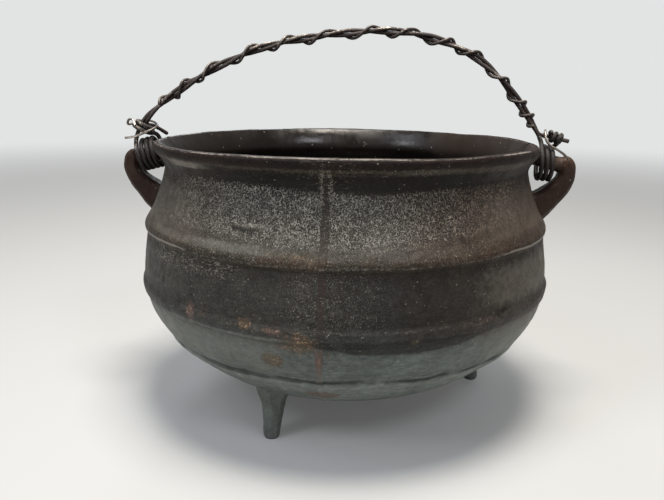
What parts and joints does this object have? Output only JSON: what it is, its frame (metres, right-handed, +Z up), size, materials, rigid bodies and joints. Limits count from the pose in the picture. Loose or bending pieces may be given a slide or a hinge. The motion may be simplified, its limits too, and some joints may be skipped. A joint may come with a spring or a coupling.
{
  "type": "cauldron",
  "caption": "Round-bellied cast iron cauldron on short legs, with bent ears and a carrying bail of twisted fence wire wound and knotted round them.",
  "frame": {"origin": "on the pot's axis, at the floor under the three feet", "axes": "+Z up, +X through the right ear along the axis that the bail turns on, -Y to the front"},
  "size_m": [0.303, 0.2718, 0.2457],
  "materials": {
    "pot_iron": "weathered grey-brown cast iron with a sandy skin, pale grains round the neck and a few rust spots",
    "ear_iron": "nearly smooth dark cast iron, worn by the wire",
    "bail_wire": "dull brown iron fence wire, rubbed bright on its crests",
    "tie_wire": "thin grey binding wire, brighter than the rest"
  },
  "bodies": {
    "pot": {"vessel": "pot_iron", "left_ear": "ear_iron", "right_ear": "ear_iron", "front_left_leg": "ear_iron", "right_leg": "ear_iron", "back_left_leg": "ear_iron"},
    "bail": {"core_wire_1": "bail_wire", "core_wire_2": "bail_wire", "lacing_wire": "bail_wire", "left_ear_winding": "bail_wire", "right_ear_winding": "bail_wire", "left_tie_wire": "tie_wire", "right_tie_wire": "tie_wire"}
  },
  "joints": [
    {"name": "bail_swing", "type": "hinge", "parent": "pot", "child": "bail", "pos_m": [0, 0, 0.161], "axis": [1, 0, 0], "range_deg": [-45, 45]}
  ]
}
